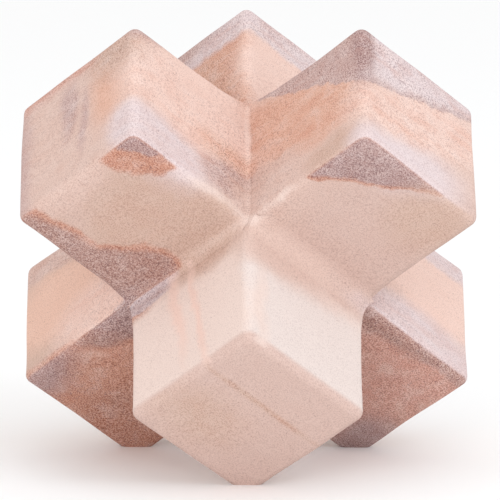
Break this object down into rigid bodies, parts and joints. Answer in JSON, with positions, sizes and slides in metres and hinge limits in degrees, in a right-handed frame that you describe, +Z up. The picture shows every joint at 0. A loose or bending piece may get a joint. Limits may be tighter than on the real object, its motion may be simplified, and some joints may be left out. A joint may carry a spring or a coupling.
{
  "type": "three-stick burr puzzle",
  "caption": "Stone burr puzzle: square sticks cross at right angles in a six-armed star that stands on its corners; the key stick slides to release the rest.",
  "frame": {"origin": "on the surface the puzzle stands on, straight under the point where the three sticks cross", "axes": "+Z up; -Y is the front, where the locking stick's lower arm points; +X is to the right seen from the front, with the base stick's upper arm on that side"},
  "size_m": [0.122, 0.1402, 0.1205],
  "materials": {
    "sandstone": "honed, matte, fine-grained, banded pink, peach and grey-violet"
  },
  "bodies": {
    "base_stick": {"base_stick": "sandstone"},
    "key_stick": {"key_stick": "sandstone"},
    "locking_stick": {"locking_stick": "sandstone"}
  },
  "joints": [
    {"name": "key_slide", "type": "slide", "parent": "base_stick", "child": "key_stick", "axis": [-0.7071, -0.4082, 0.5774], "range_m": [0, 0.012]},
    {"name": "locking_slide", "type": "slide", "parent": "base_stick", "child": "locking_stick", "axis": [-0.7071, -0.4082, 0.5774], "range_m": [0, 0.012]}
  ],
  "couplings": [
    {"joint": "locking_slide", "follows": "key_slide", "ratio": 1}
  ]
}
